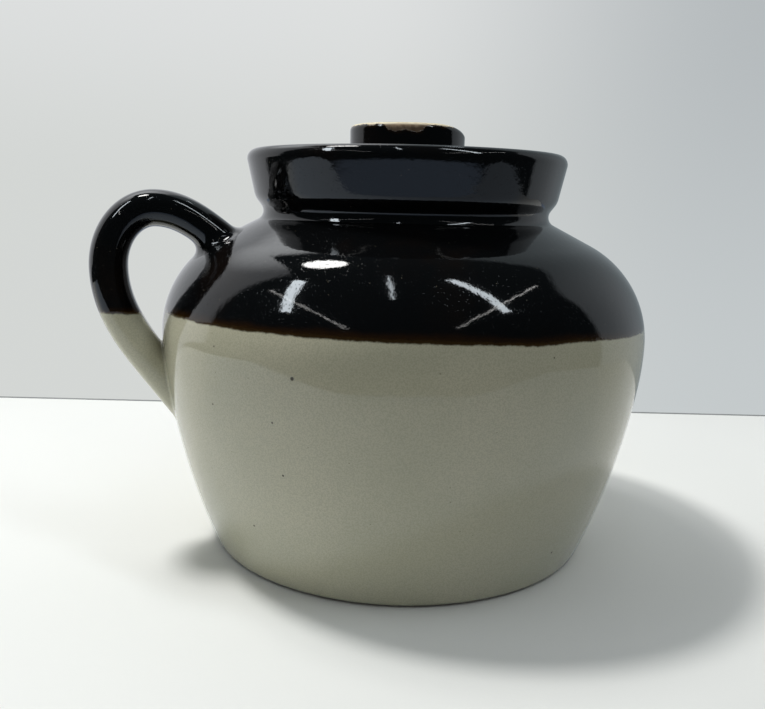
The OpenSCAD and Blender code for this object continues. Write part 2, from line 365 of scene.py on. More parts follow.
# %% [markdown]
# ## Bare clay where pieces rest
#
# Glaze is glass, and in the kiln it welds together whatever touches. So a potter wipes it off the
# ledge inside the collar and off the part of the lid that sits there. A painted mask or a second
# piece of mesh could show that. A height in the material is simpler: it needs no painting, the
# mesh stays whole, and noise frays the edge of the glaze as a wet sponge does.

# %% Inside of the pot: dark glaze, wiped off the ledge that carries the lid
LEDGE_DEPTH = 15.0
# How near to the ledge's height the glaze gets thin, and is gone
WIPED_THIN, WIPED_BARE = 0.0011, 0.0007
ledge_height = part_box("pot_body")[1].z - LEDGE_DEPTH * MM
inside_finish, tree, shader, where = new_finish("pot_inside_glaze")
colour, rough, height = dark_glaze(tree, where)
off = calc(tree, "ABSOLUTE", calc(tree, "SUBTRACT", height_of(tree, where), ledge_height))
off = calc(tree, "MULTIPLY_ADD", noise(tree, where, 210.0, 2.0), 0.0008, off)
wiped = rise(tree, off, WIPED_THIN, WIPED_BARE)
colour = blend_colours(tree, wiped, colour, bare_clay(tree, where, 260.0))
rough = blend_values(tree, wiped, rough, 0.75)
finish_with(tree, shader, colour, rough, height)
print("ledge at", round(ledge_height * 1000, 2), "mm")

# %% Lid: dark glaze above, bare clay where it rests
lid_finish, tree, shader, where = new_finish("lid_dark_glaze")
colour, rough, height = dark_glaze(tree, where)
edge = calc(tree, "MULTIPLY_ADD", noise(tree, where, 180.0, 2.0), 0.0012, ledge_height + 0.0001)
covered = rise(tree, calc(tree, "SUBTRACT", height_of(tree, where), edge), 0.0, 0.0005)
colour = blend_colours(tree, covered, bare_clay(tree, where, 240.0), colour)
rough = blend_values(tree, covered, 0.8, rough)
finish_with(tree, shader, colour, rough, height)
print("lid finish has", len(tree.nodes), "nodes")

# %% [markdown]
# ## The knob's worn top
#
# The knob's top edge is where hands and shelves have rubbed for years: the glaze is gone from the
# crown, so that cream clay shows, and a shallow brown chip runs down the front. The material
# takes the height on the knob, moves it by noise, and lowers the edge of the glaze on the side
# that faces the viewer.

# %% Knob finish
BURNT = rgb(0.10, 0.058, 0.024)
# The chip: how far left of the knob's middle, half its width where it fades and ends, its drop
CHIP_LEFT, CHIP_FADES, CHIP_ENDS, CHIP_DROP = 0.0012, 0.0055, 0.0085, 0.0022
# How far down the crown is bare all round, and how far noise moves that edge
CROWN_BARE, NIBBLE = 0.0009, 0.0030
knob_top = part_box("lid_knob")[1].z
knob_finish, tree, shader, where = new_finish("knob_worn_glaze")
colour, rough, height = dark_glaze(tree, where)
sideways = dot(tree, where, to_right)
towards = dot(tree, where, -level_ahead)
from_chip = calc(tree, "ABSOLUTE", calc(tree, "ADD", sideways, CHIP_LEFT))
chip = calc(tree, "SUBTRACT", 1.0, rise(tree, from_chip, CHIP_FADES, CHIP_ENDS))
chip = calc(tree, "MULTIPLY", chip, rise(tree, towards, 0.010, 0.016))
nibble = calc(tree, "SUBTRACT", noise(tree, where, 330.0, 3.0, 0.65), 0.5)
down = calc(tree, "SUBTRACT", knob_top, height_of(tree, where))
edge = calc(tree, "MULTIPLY_ADD", nibble, NIBBLE, CROWN_BARE)
edge = calc(tree, "MULTIPLY_ADD", chip, CHIP_DROP, edge)
inner = calc(tree, "SUBTRACT", edge, down)
bare = rise(tree, inner, -0.0001, 0.0002)
thin = rise(tree, inner, -0.0014, 0.0001)
burnt = blend_colours(tree, noise(tree, where, 700.0, 3.0), BURNT, CLAY_DARK)
clay = blend_colours(tree, rise(tree, down, 0.0005, 0.0012), CREAM, burnt)
mottle = rise(tree, noise(tree, where, 420.0, 3.0), 0.40, 0.75, 0.6)
clay = blend_colours(tree, mottle, clay, CLAY)
colour = blend_colours(tree, thin, colour, UMBER)
colour = blend_colours(tree, bare, colour, clay)
rough = blend_values(tree, bare, rough, 0.55)
height = calc(tree, "MULTIPLY_ADD", bare, -0.00025, height)
finish_with(tree, shader, colour, rough, height)
print("knob finish has", len(tree.nodes), "nodes")

# %% [markdown]
# ## Profiles
#
# Everything on this pot that came off the wheel is a profile turned round the axis. A profile is
# a list of points, radius and height, in millimetres. It is drawn here from the same named sizes
# as the CAD model, with true arcs, so that the glazed surface lies on the CAD surface.

# %% Helpers for profiles
def unit(v):
    """The same direction with length 1."""
    return np.asarray(v, float) / np.linalg.norm(v)


def direction(degrees):
    """Direction of length 1 at an angle from outward toward up."""
    return np.array([math.cos(math.radians(degrees)), math.sin(math.radians(degrees))])


def arc(centre, radius, start, end, step=4.0):
    """Points on an arc. Angles are in degrees from outward toward up."""
    count = max(2, math.ceil(abs(end - start) / step) + 1)
    angles = np.radians(np.linspace(start, end, count))
    return np.asarray(centre) + radius * np.c_[np.cos(angles), np.sin(angles)]


def corner(before, at, after, radius, step=10.0):
    """Points of the arc that rounds the corner at a point between two straight sides."""
    a, b = unit(np.subtract(before, at)), unit(np.subtract(after, at))
    half = math.acos(float(np.clip(a @ b, -1, 1))) / 2
    centre = at + unit(a + b) * radius / math.sin(half)
    first = at + a * radius / math.tan(half) - centre
    last = at + b * radius / math.tan(half) - centre
    start = math.degrees(math.atan2(first[1], first[0]))
    turn = math.degrees(math.atan2(last[1], last[0])) - start
    turn = (turn + 180) % 360 - 180
    return arc(centre, radius, start, start + turn, step)


def meet(p, u, q, v):
    """Point where the line from p along u meets the line from q along v."""
    share = ((q[0] - p[0]) * v[1] - (q[1] - p[1]) * v[0]) / (u[0] * v[1] - u[1] * v[0])
    return np.asarray(p) + np.asarray(u) * share


def dense(points, longest):
    """The same polyline with no side longer than this."""
    points = np.vstack(points)
    keep = np.r_[True, np.linalg.norm(np.diff(points, axis=0), axis=1) > 1e-6]
    points = points[keep]
    rows = [points[:1]]
    for a, b in zip(points[:-1], points[1:]):
        count = math.ceil(np.linalg.norm(b - a) / longest)
        rows.append(a + (b - a) * np.linspace(0, 1, count + 1)[1:, None])
    return np.vstack(rows)


# %% Sizes of the pot's outside, in millimetres
BELLY_R, BELLY_Z = 95.0, 83.2
FOOT_IN, FOOT_ROUND = 19.4, 3.4
BELLY_CURVE_R, BELLY_CURVE_ANGLE = 107.0, 7.6
SHOULDER_R, SHOULDER_SLOPE = 40.3, 27.0
NECK_HOLLOW_R, NECK_IN = 3.6, 6.8
RIM_R, COLLAR_H, COLLAR_WALL = 63.0, 23.1, 6.2
COLLAR_FLARE, COLLAR_BEVEL, COLLAR_ROUND = 12.0, 37.0, 7.6
RIM_ROUND, RIM_INNER_ROUND = 3.6, 2.2

belly_c = np.array([BELLY_R - BELLY_CURVE_R, BELLY_Z])
join_dir = direction(-BELLY_CURVE_ANGLE)
join = belly_c + BELLY_CURVE_R * join_dir
foot_to_join = join - [BELLY_R - FOOT_IN, 0]
lower_r = foot_to_join @ foot_to_join / (2 * join_dir @ foot_to_join)
lower_c = join - lower_r * join_dir
shoulder_c = np.array([BELLY_R - SHOULDER_R, BELLY_Z])
shoulder_dir = direction(90 - SHOULDER_SLOPE)
slope_dir = direction(180 - SHOULDER_SLOPE)
print("lower wall's arc", round(lower_r, 1), "mm round", np.round(lower_c, 1))

# %% Where the collar's straight sides meet
shoulder_end = shoulder_c + SHOULDER_R * shoulder_dir
neck_r = RIM_R - NECK_IN
hollow_x = neck_r + NECK_HOLLOW_R
hollow_lift = NECK_HOLLOW_R - (hollow_x - shoulder_end[0]) * shoulder_dir[0]
neck_z = shoulder_end[1] + hollow_lift / shoulder_dir[1]
hollow_c = np.array([hollow_x, neck_z])
rim_z = neck_z + COLLAR_H
rim_corner = np.array([RIM_R, rim_z])
bevel_dir = direction(90 - COLLAR_BEVEL)
bevel_start = hollow_c + NECK_HOLLOW_R * direction(180 - COLLAR_BEVEL)
neck_corner = meet(shoulder_end, slope_dir, bevel_start, bevel_dir)
collar_corner = meet(bevel_start, bevel_dir, rim_corner, direction(90 - COLLAR_FLARE))
print("neck at", round(neck_z, 2), "rim at", round(rim_z, 2))

# %% [markdown]
# The inside follows the outside at the wall's thickness, as far as the throat. Above it lies the
# ledge for the lid, and the collar's inner face flares up to the rim. Sharp inner corners get a
# small rounding, because glaze always fills them.

# %% The belly's curves, outside or inside
WALL, FLOOR_T, FLOOR_ROUND = 6.5, 7.5, 14.0
WELL_FLARE, LEDGE_W, THROAT_ROUND = 9.0, 5.4, 3.0
GLAZE_ROUND = 0.9


def belly_curve(inset, base_z, base_round):
    """From the bottom's middle, round its edge and up to the shoulder's slope."""
    radius = lower_r - inset - base_round
    z = base_z + base_round
    base_c = np.array([lower_c[0] + math.sqrt(radius ** 2 - (z - lower_c[1]) ** 2), z])
    up = base_c - lower_c
    low_angle = math.degrees(math.atan2(up[1], up[0]))
    return [np.array([[0.0, base_z]]),
            arc(base_c, base_round, -90, low_angle, 7),
            arc(lower_c, lower_r - inset, low_angle, -BELLY_CURVE_ANGLE, 0.4),
            arc(belly_c, BELLY_CURVE_R - inset, -BELLY_CURVE_ANGLE, 0, 0.9),
            arc(shoulder_c, SHOULDER_R - inset, 0, 90 - SHOULDER_SLOPE, 2.2)]


ledge_z = rim_z - LEDGE_DEPTH
well_r = RIM_R - COLLAR_WALL
ledge_r = well_r - LEDGE_DEPTH * math.tan(math.radians(WELL_FLARE))
throat_r = ledge_r - LEDGE_W
inner_end = shoulder_c + (SHOULDER_R - WALL) * shoulder_dir
throat_low = meet(inner_end, slope_dir, [throat_r, 0], [0, 1])
throat_top, ledge_out = np.array([throat_r, ledge_z]), np.array([ledge_r, ledge_z])
well_top = np.array([well_r, rim_z])

# %% The whole profile of the pot
outside = dense(belly_curve(0, 0, FOOT_ROUND) + [
    corner(shoulder_end, neck_corner, collar_corner, NECK_HOLLOW_R),
    corner(neck_corner, collar_corner, rim_corner, COLLAR_ROUND, 4),
    corner(collar_corner, rim_corner, [0, rim_z], RIM_ROUND, 8)], 1.5)
inside = dense(belly_curve(WALL, FLOOR_T, FLOOR_ROUND) + [
    corner(inner_end, throat_low, throat_top, THROAT_ROUND),
    corner(throat_low, throat_top, ledge_out, GLAZE_ROUND, 15),
    corner(throat_top, ledge_out, well_top, GLAZE_ROUND, 15),
    corner(ledge_out, well_top, rim_corner, RIM_INNER_ROUND)], 3.0)
pot_profile = np.vstack([outside, inside[::-1]])
print("pot profile:", len(outside), "points outside and", len(inside), "inside")

# %% [markdown]
# ## Throwing: a profile turned into a surface
#
# Geometry Nodes do the turning. The profile comes in as a string of points. A grid is made with
# one row for each point and one column for each step round the axis, and every point of the grid
# looks up its radius and height in the profile by its row. A thrown pot is never dead round, so
# soft noise draws the surface in by a fraction of a millimetre. The two edges of the grid meet
# and are merged, and so are the points on the axis. Each point carries along whether it lies
# inside the piece, and the last two nodes glaze the faces by that mark. A Screw modifier would
# turn a profile too, but it has no waver and only one finish.

# %% The throwing tree
# Points nearer to each other than this are one point
TOUCHING = 2e-6


def throwing_tree():
    """Profile, steps, waver and finishes in; a closed turned surface out."""
    tree = bpy.data.node_groups.new("throw_on_the_wheel", "GeometryNodeTree")
    face = tree.interface
    for name, kind in (("Profile", "Geometry"), ("Profile points", "Int"), ("Steps", "Int"),
                       ("Waver", "Float"), ("Waver lumps", "Float"), ("Seed", "Int"),
                       ("Outside finish", "Material"), ("Inside finish", "Material")):
        face.new_socket(name=name, in_out="INPUT", socket_type="NodeSocket" + kind)
    face.new_socket(name="Piece", in_out="OUTPUT", socket_type="NodeSocketGeometry")
    given = tree.nodes.new("NodeGroupInput").outputs
    columns = calc(tree, "ADD", given["Steps"], 1)
    grid = add(tree, "GeometryNodeMeshGrid",
               {"Vertices X": given["Profile points"], "Vertices Y": columns}, out="Mesh")
    index = add(tree, "GeometryNodeInputIndex")
    row = calc(tree, "FLOOR", calc(tree, "DIVIDE", calc(tree, "ADD", index, 0.25), columns))
    column = calc(tree, "SUBTRACT", index, calc(tree, "MULTIPLY", row, columns))
    angle = calc(tree, "MULTIPLY", calc(tree, "DIVIDE", column, given["Steps"]), math.tau)

    def from_profile(field, kind):
        return add(tree, "GeometryNodeSampleIndex",
                   {"Geometry": given["Profile"], "Value": field, "Index": row}, data_type=kind)

    point = add(tree, "ShaderNodeSeparateXYZ",
                {0: from_profile(add(tree, "GeometryNodeInputPosition"), "FLOAT_VECTOR")})
    radius, height = point, point.node.outputs["Z"]
    cos, sin = calc(tree, "COSINE", angle), calc(tree, "SINE", angle)
    nominal = add(tree, "ShaderNodeCombineXYZ", {0: calc(tree, "MULTIPLY", radius, cos),
                                                 1: calc(tree, "MULTIPLY", radius, sin),
                                                 2: height})
    lumps = add(tree, "ShaderNodeTexNoise", {"Vector": nominal, "W": given["Seed"],
                                             "Scale": given["Waver lumps"], "Detail": 2.0},
                noise_dimensions="4D")
    drawn_in = calc(tree, "MULTIPLY", lumps, given["Waver"])
    drawn_in = calc(tree, "MINIMUM", drawn_in, calc(tree, "MULTIPLY", radius, 0.01))
    radius = calc(tree, "SUBTRACT", radius, drawn_in)
    real = add(tree, "ShaderNodeCombineXYZ", {0: calc(tree, "MULTIPLY", radius, cos),
                                              1: calc(tree, "MULTIPLY", radius, sin),
                                              2: height})
    turned_up = add(tree, "GeometryNodeSetPosition", {"Geometry": grid, "Position": real})
    inside = add(tree, "GeometryNodeInputNamedAttribute", {"Name": "inside"}, data_type="FLOAT")
    marked = add(tree, "GeometryNodeStoreNamedAttribute",
                 {"Geometry": turned_up, "Name": "inside", "Value": from_profile(inside, "FLOAT")},
                 data_type="FLOAT", domain="POINT")
    closed = add(tree, "GeometryNodeMergeByDistance", {"Geometry": marked, "Distance": TOUCHING})
    smooth = add(tree, "GeometryNodeSetShadeSmooth", {"Geometry": closed})
    whole = add(tree, "GeometryNodeRealizeInstances", {"Geometry": smooth})
    is_inside = add(tree, "FunctionNodeCompare", {0: inside, 1: 0.5}, operation="GREATER_THAN",
                    data_type="FLOAT")
    glazed = add(tree, "GeometryNodeSetMaterial",
                 {"Geometry": whole, "Material": given["Outside finish"]})
    glazed = add(tree, "GeometryNodeSetMaterial", {"Geometry": glazed, "Selection": is_inside,
                                                   "Material": given["Inside finish"]})
    end = tree.nodes.new("NodeGroupOutput")
    tree.links.new(glazed, end.inputs[0])
    return tree


wheel = throwing_tree()
print("throwing tree has", len(wheel.nodes), "nodes")


# %% Turning a profile with the tree
def signed_volume(mesh):
    """Volume in cubic metres; negative where the faces point inwards."""
    mesh.calc_loop_triangles()
    corners = np.array([t.vertices[:] for t in mesh.loop_triangles])
    points = np.array([v.co[:] for v in mesh.vertices])
    a, b, c = points[corners[:, 0]], points[corners[:, 1]], points[corners[:, 2]]
    return float((a * np.cross(b, c)).sum() / 6)


def throw(name, profile, zones, outer, inner, steps=256, waver=0.0, lumps=14.0, seed=1):
    """A closed piece turned from a profile in millimetres, as a plain mesh at the origin."""
    line = bpy.data.meshes.new(name + "_profile")
    points = [(r * MM, 0.0, z * MM) for r, z in profile]
    line.from_pydata(points, [(i, i + 1) for i in range(len(points) - 1)], [])
    line.attributes.new("inside", "FLOAT", "POINT").data.foreach_set("value", zones)
    piece = bpy.data.objects.new(name, line)
    bpy.context.scene.collection.objects.link(piece)
    turning = piece.modifiers.new("turning", "NODES")
    turning.node_group = wheel
    values = {"Profile points": len(points), "Steps": steps, "Waver": waver * MM,
              "Waver lumps": lumps, "Seed": seed, "Outside finish": outer,
              "Inside finish": inner}
    for item in wheel.interface.items_tree:
        if item.name in values:
            turning[item.identifier] = values[item.name]
    ready = piece.evaluated_get(bpy.context.evaluated_depsgraph_get())
    mesh = bpy.data.meshes.new_from_object(ready)
    mesh.attributes.remove(mesh.attributes["inside"])
    piece.modifiers.clear()
    piece.data = mesh
    if signed_volume(mesh) < 0:
        mesh.flip_normals()
    print(name, len(mesh.polygons), "faces,", round(signed_volume(mesh) * 1e6, 1), "cm3")
    return piece


# %% The pot
pot = throw("thrown_pot", pot_profile, [0.0] * len(outside) + [1.0] * len(inside),
            pot_finish, inside_finish, steps=240, waver=0.25, lumps=14.0, seed=4)
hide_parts("pot_body")
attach(pot, "pot")

# %% [markdown]
# ## The handle
#
# A handle like this is pulled from a strap of clay, bent into a loop and luted on: its ends are
# pressed against the pot and the seams are smeared smooth with a thumb. So it has an oval
# section that widens at the ends, and soft hollows where it meets the wall.
#
# The loop is a tube along three curves. Its surface is treated as rails that run from one end
# to the other. Each rail is stopped a few millimetres before it reaches the pot, and a short
# curve takes it from there down onto the wall, so that it ends lying on the pot's surface.

# %% The loop's middle line, in millimetres from the axis and up
HANDLE_REACH, HANDLE_DROP, HANDLE_TOP_IN, HANDLE_OUT_DROP = 25.0, 16.0, 23.8, 28.5
HANDLE_UP_ON, HANDLE_LOW_Z, HANDLE_UP_SLOPE, HANDLE_LOW_SLOPE = 0.0, 66.0, 38.0, 36.0
HANDLE_T, HANDLE_TOP_T, HANDLE_W = 13.8, 13.6, 23.0
UP_END_W, LOW_END_W = 3.0, -2.0
QUARTER, ARM_PULL, SINK = 0.5523, 0.36, 20.0

root_up = shoulder_end + HANDLE_UP_ON * slope_dir
root_low = np.array([lower_c[0] + math.sqrt(lower_r ** 2 - (HANDLE_LOW_Z - lower_c[1]) ** 2),
                     HANDLE_LOW_Z])
reach_r, highest_z = BELLY_R + HANDLE_REACH, rim_z - HANDLE_DROP
loop_out = np.array([reach_r - HANDLE_T / 2, highest_z - HANDLE_OUT_DROP])
loop_top = np.array([reach_r - HANDLE_TOP_IN, highest_z - HANDLE_TOP_T / 2])
print("handle's roots at", np.round(root_up, 1), "and", np.round(root_low, 1))
up_dir = direction(HANDLE_UP_SLOPE)
low_dir = -direction(90 - HANDLE_LOW_SLOPE)
up_pull = ARM_PULL * np.linalg.norm(loop_top - root_up)
low_pull = ARM_PULL * np.linalg.norm(loop_out - root_low)
curves = [
    [root_up, root_up + up_pull * up_dir, loop_top - [up_pull, 0], loop_top],
    [loop_top, loop_top + [QUARTER * (loop_out[0] - loop_top[0]), 0],
     loop_out + [0, QUARTER * (loop_top[1] - loop_out[1])], loop_out],
    [loop_out, loop_out - [0, low_pull], root_low - low_pull * low_dir, root_low]]


def along(curve, u):
    """Point and direction on a cubic curve."""
    a, b, c, d = curve
    point = (1 - u) ** 3 * a + 3 * u * (1 - u) ** 2 * b + 3 * u * u * (1 - u) * c + u ** 3 * d
    heading = (1 - u) ** 2 * (b - a) + 2 * u * (1 - u) * (c - b) + u * u * (d - c)
    return point, unit(heading)


# %% Rails along the loop
SIDES, STATIONS, ROOT_STATIONS = 96, 60, 24
# Power that makes the section squarer than an ellipse, which has 1
SQUARENESS = 0.82


def stations():
    """Middle, direction, thickness and width at stations from end to end."""
    rows = []
    for u in np.linspace(-1, 0, ROOT_STATIONS, endpoint=False):
        rows.append((root_up + SINK * u * up_dir, up_dir, HANDLE_T, UP_END_W))
    for part, curve in enumerate(curves):
        for u in np.linspace(0, 1, STATIONS, endpoint=False):
            t = (HANDLE_T + (HANDLE_TOP_T - HANDLE_T) * u, HANDLE_TOP_T
                 + (HANDLE_T - HANDLE_TOP_T) * u, HANDLE_T)[part]
            spread = (UP_END_W * (1 - u) ** 3, 0.0, LOW_END_W * u ** 3)[part]
            rows.append((*along(curve, u), t, spread))
    for u in np.linspace(0, 1, ROOT_STATIONS):
        rows.append((root_low + SINK * u * low_dir, low_dir, HANDLE_T, LOW_END_W))
    return rows


def oval(side):
    """A point of the section, between an ellipse and a rounded box."""
    c, s = math.cos(math.tau * side / SIDES), math.sin(math.tau * side / SIDES)
    return math.copysign(abs(c) ** SQUARENESS, c), math.copysign(abs(s) ** SQUARENESS, s)


rails = np.zeros((SIDES, len(stations()), 3))
outward = np.zeros_like(rails)
for k, (middle, heading, thick, spread) in enumerate(stations()):
    across = np.array([-heading[1], heading[0]])
    for j in range(SIDES):
        c, s = oval(j)
        p = middle + thick / 2 * c * across
        rails[j, k] = (-p[0], (HANDLE_W + spread) / 2 * s, p[1])
        outward[j, k] = (-across[0] * c, s, across[1] * c)
print("rails", rails.shape)

# %% [markdown]
# A boolean would join the handle to the pot along a hard crease, and leave a ragged mesh. So each
# rail asks instead how far each of its points is from the wall. The pot is turned, which makes
# that easy: the nearest point of its profile, and the side of the wall on which the point lies.

# %% Distance from the pot's outside
WALL_FROM_Z = 20
wall_line = dense([outside[outside[:, 1] > WALL_FROM_Z]], 0.5)
wall_dir = np.gradient(wall_line, axis=0)
wall_dir /= np.linalg.norm(wall_dir, axis=1)[:, None]
wall_out = np.c_[wall_dir[:, 1], -wall_dir[:, 0]]
print("wall line has", len(wall_line), "points")


def nearest_wall(point):
    """Signed distance from the pot's outside, the nearest point on it and its normal."""
    radius = math.hypot(point[0], point[1])
    flat = np.array([radius, point[2]]) - wall_line
    i = int((flat ** 2).sum(1).argmin())
    gap = float(flat[i] @ wall_out[i])
    foot = np.array([radius, point[2]]) - gap * wall_out[i]
    round_dir = np.array([point[0], point[1]]) / radius
    return (gap, np.array([*(round_dir * foot[0]), foot[1]]),
            np.array([*(round_dir * wall_out[i][0]), wall_out[i][1]]))


# %% Where each rail meets the pot
def crossing(rail, order):
    """Fractional station at which a rail, followed in this order, first meets the pot."""
    last_gap, last_k = None, None
    for k in order:
        gap = nearest_wall(rail[k])[0]
        if gap <= 0:
            share = last_gap / (last_gap - gap)
            return last_k + (k - last_k) * share
        last_gap, last_k = gap, k
    raise ValueError("a rail never meets the pot")


def at_station(row, k):
    """Point of a rail at a fractional station."""
    low = min(int(k), len(row) - 2)
    return row[low] + (row[low + 1] - row[low]) * (k - low)


def step_along(rail, k, distance, way, step=0.25):
    """Fractional station at that distance along a rail."""
    while distance > 0:
        size = np.linalg.norm(at_station(rail, k + way * step) - at_station(rail, k))
        k += way * step * min(1.0, distance / size)
        distance -= size
    return k


middle_k = ROOT_STATIONS + int(1.5 * STATIONS)
count_k = rails.shape[1]
meets_up = [crossing(rail, range(middle_k, -1, -1)) for rail in rails]
meets_low = [crossing(rail, range(middle_k, count_k)) for rail in rails]
print("rails meet the pot at stations", round(min(meets_up), 1), "to", round(max(meets_up), 1),
      "and", round(min(meets_low), 1), "to", round(max(meets_low), 1))

# %% [markdown]
# The hollow under the upper root is the widest, because that is where a thumb fits. In the
# narrow crotch above the lower root there is room for a small one only.

# %% Rails laid down onto the pot
FILLET_STEPS = 10
# Size of the hollow, in millimetres: above the upper root, under it, and round the lower root
HOLLOW_ABOVE, HOLLOW_UNDER, HOLLOW_LOW = 3.5, 7.0, 1.8
# A rail ends this far below the wall, then turns in and closes inside the wall
LANDS_BELOW, TAIL_OUT, TAIL_IN, CLOSES_BELOW = 0.12, 1.0, 0.5, 2.6


def hollow(rail, out, k_meet, way, size):
    """Station where the rail is left, and the points of its curve onto the pot."""
    k_leave = step_along(rail, k_meet, size, way)
    leave = at_station(rail, k_leave)
    heading = unit(at_station(rail, k_leave - way * 0.2) - leave)
    meet_point = at_station(rail, k_meet)
    _, on_wall, normal = nearest_wall(meet_point)
    side = at_station(out, k_meet)
    side = unit(side - normal * (side @ normal))
    _, land, land_normal = nearest_wall(on_wall + side * size * 0.9)
    drop = float((land - leave) @ land_normal)
    slope = float(heading @ land_normal)
    knee = leave + heading * min(drop / slope, 1.6 * size) if slope < -0.05 else meet_point
    land = land - land_normal * LANDS_BELOW
    curve = [(1 - u) ** 2 * leave + 2 * u * (1 - u) * knee + u * u * land
             for u in np.linspace(0, 1, FILLET_STEPS + 1)[1:]]
    tail = land + side * TAIL_OUT - land_normal * TAIL_IN
    deep = on_wall - normal * CLOSES_BELOW
    return k_leave, curve + [tail, deep]


def upper_hollow(side):
    """Size of the hollow round the upper root, by how far the section faces down there."""
    facing = outward[side, ROOT_STATIONS, 2]
    share = 0.5 - 0.5 * max(-1.0, min(1.0, facing * 1.2))
    return HOLLOW_ABOVE + (HOLLOW_UNDER - HOLLOW_ABOVE) * share


BODY_ROWS = 190
columns = []
for j in range(SIDES):
    k_up, up_curve = hollow(rails[j], outward[j], meets_up[j], +1, upper_hollow(j))
    k_low, low_curve = hollow(rails[j], outward[j], meets_low[j], -1, HOLLOW_LOW)
    body = [at_station(rails[j], k) for k in np.linspace(k_up, k_low, BODY_ROWS)]
    columns.append(up_curve[::-1] + body + low_curve)
loop = np.array(columns)
print("handle rows and sides", loop.shape[1], loop.shape[0])

# %% The handle as a mesh
def loop_mesh(points):
    """A closed tube from columns of points in millimetres."""
    sides, rows = points.shape[:2]
    verts = [tuple(p * MM) for p in points.transpose(1, 0, 2).reshape(-1, 3)]
    faces = []
    for r in range(rows - 1):
        for s in range(sides):
            n = (s + 1) % sides
            faces.append((r * sides + s, r * sides + n, (r + 1) * sides + n, (r + 1) * sides + s))
    for row in (0, rows - 1):
        centre = len(verts)
        verts.append(tuple(points[:, row].mean(0) * MM))
        ring = [(row * sides + s, row * sides + (s + 1) % sides) for s in range(sides)]
        faces += [(b, a, centre) if row == 0 else (a, b, centre) for a, b in ring]
    mesh = bpy.data.meshes.new("handle")
    mesh.from_pydata(verts, [], faces)
    mesh.polygons.foreach_set("use_smooth", [True] * len(faces))
    mesh.update()
    if signed_volume(mesh) < 0:
        mesh.flip_normals()
    return mesh


handle = bpy.data.objects.new("pulled_handle", loop_mesh(loop))
bpy.context.scene.collection.objects.link(handle)
handle.data.materials.append(handle_finish)
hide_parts("handle")
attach(handle, "pot")
print("handle", len(handle.data.polygons), "faces,",
      round(signed_volume(handle.data) * 1e6, 1), "cm3")

# %% [markdown]
# ## The lid and its knob
#
# The lid is a thick shallow disc that drops down inside the collar. A ring below it keeps it
# central in the throat. It was thrown too, so it comes off the same wheel, and so does the knob.

# %% Lid profile
LID_GAP, RING_GAP, LID_EDGE_T, LID_RISE, LID_T = 0.8, 1.4, 5.5, 3.0, 6.0
RING_H, RING_W, LID_ROUND = 5.0, 7.0, 1.6
RING_ROOT_ROUND, LID_LOW_ROUND = 0.6, 0.5
KNOB_FOOT_R, KNOB_SEAT = 15.5, 1.5

lid_r, ring_r = ledge_r - LID_GAP, throat_r - RING_GAP
hollow_r = ring_r - RING_W
edge_z = ledge_z + LID_EDGE_T
dome_r = (lid_r ** 2 + LID_RISE ** 2) / (2 * LID_RISE)
dome_z = edge_z + LID_RISE - dome_r
ring_z = ledge_z - RING_H
seat_r = KNOB_FOOT_R + KNOB_SEAT
knob_z = dome_z + math.sqrt(dome_r ** 2 - seat_r ** 2)


def dome_at(radius, r):
    """Point of a dome of this radius, r away from the axis."""
    return np.array([r, dome_z + math.sqrt(radius ** 2 - r ** 2)])


under = [dome_at(dome_r - LID_T, r) for r in np.linspace(0, hollow_r, 12)]
above = [dome_at(dome_r, r) for r in np.linspace(lid_r, seat_r, 14)]
ring_in, ring_out = np.array([hollow_r, ring_z]), np.array([ring_r, ring_z])
ring_top, lid_low = np.array([ring_r, ledge_z]), np.array([lid_r, ledge_z])
lid_profile = dense([
    np.array(under), corner(under[-1], ring_in, ring_out, LID_ROUND),
    corner(ring_in, ring_out, ring_top, LID_ROUND),
    corner(ring_out, ring_top, lid_low, RING_ROOT_ROUND, 20),
    corner(ring_top, lid_low, above[0], LID_LOW_ROUND, 20),
    corner(lid_low, above[0], above[1], LID_ROUND), np.array(above[2:]),
    np.array([[0.0, knob_z]])], 1.4)
lid = throw("thrown_lid", lid_profile, [0.0] * len(lid_profile), lid_finish, lid_finish,
            steps=200, waver=0.12, lumps=18.0, seed=7)
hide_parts("lid")
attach(lid, "lid")

# %% Knob profile
KNOB_R, KNOB_H, KNOB_HEAD_H = 22.5, 17.0, 10.5
KNOB_TOP_ROUND, KNOB_LOW_ROUND, KNOB_COVE_R = 2.2, 1.4, 4.6
# The knob's foot stands this little above the lid, so that no two faces lie in one place
KNOB_CLEAR = 0.01

head_z, top_z = knob_z + KNOB_H - KNOB_HEAD_H, knob_z + KNOB_H
cove = [np.array([KNOB_FOOT_R, knob_z]), np.array([KNOB_FOOT_R, head_z]),
        np.array([KNOB_R, head_z]), np.array([KNOB_R, top_z]), np.array([0.0, top_z])]
knob_profile = dense([
    np.array([[0.0, knob_z + KNOB_CLEAR], [KNOB_FOOT_R, knob_z + KNOB_CLEAR]]),
    corner(cove[0], cove[1], cove[2], KNOB_COVE_R, 6),
    corner(cove[1], cove[2], cove[3], KNOB_LOW_ROUND, 12),
    corner(cove[2], cove[3], cove[4], KNOB_TOP_ROUND, 8),
    np.array([[0.0, top_z]])], 0.5)
knob = throw("thrown_knob", knob_profile, [0.0] * len(knob_profile), knob_finish, knob_finish,
             steps=200, waver=0.15, lumps=60.0, seed=11)

# %% [markdown]
# On its right the knob's top edge is rubbed down into a soft slope. It could be sculpted, but then
# nobody could change it later. Here a short formula lowers the points of the finished mesh: none
# left of the wear, more towards the edge like a quarter round, and less further down the side.

# %% The knob's worn side, rubbed down on the viewer's right
WEAR_FROM, WEAR_W, WEAR_DROP, WEAR_DEPTH = 0.0095, 0.0130, 0.0037, 0.008
# Power with which the wear fades down the side
WEAR_FADE = 1.5


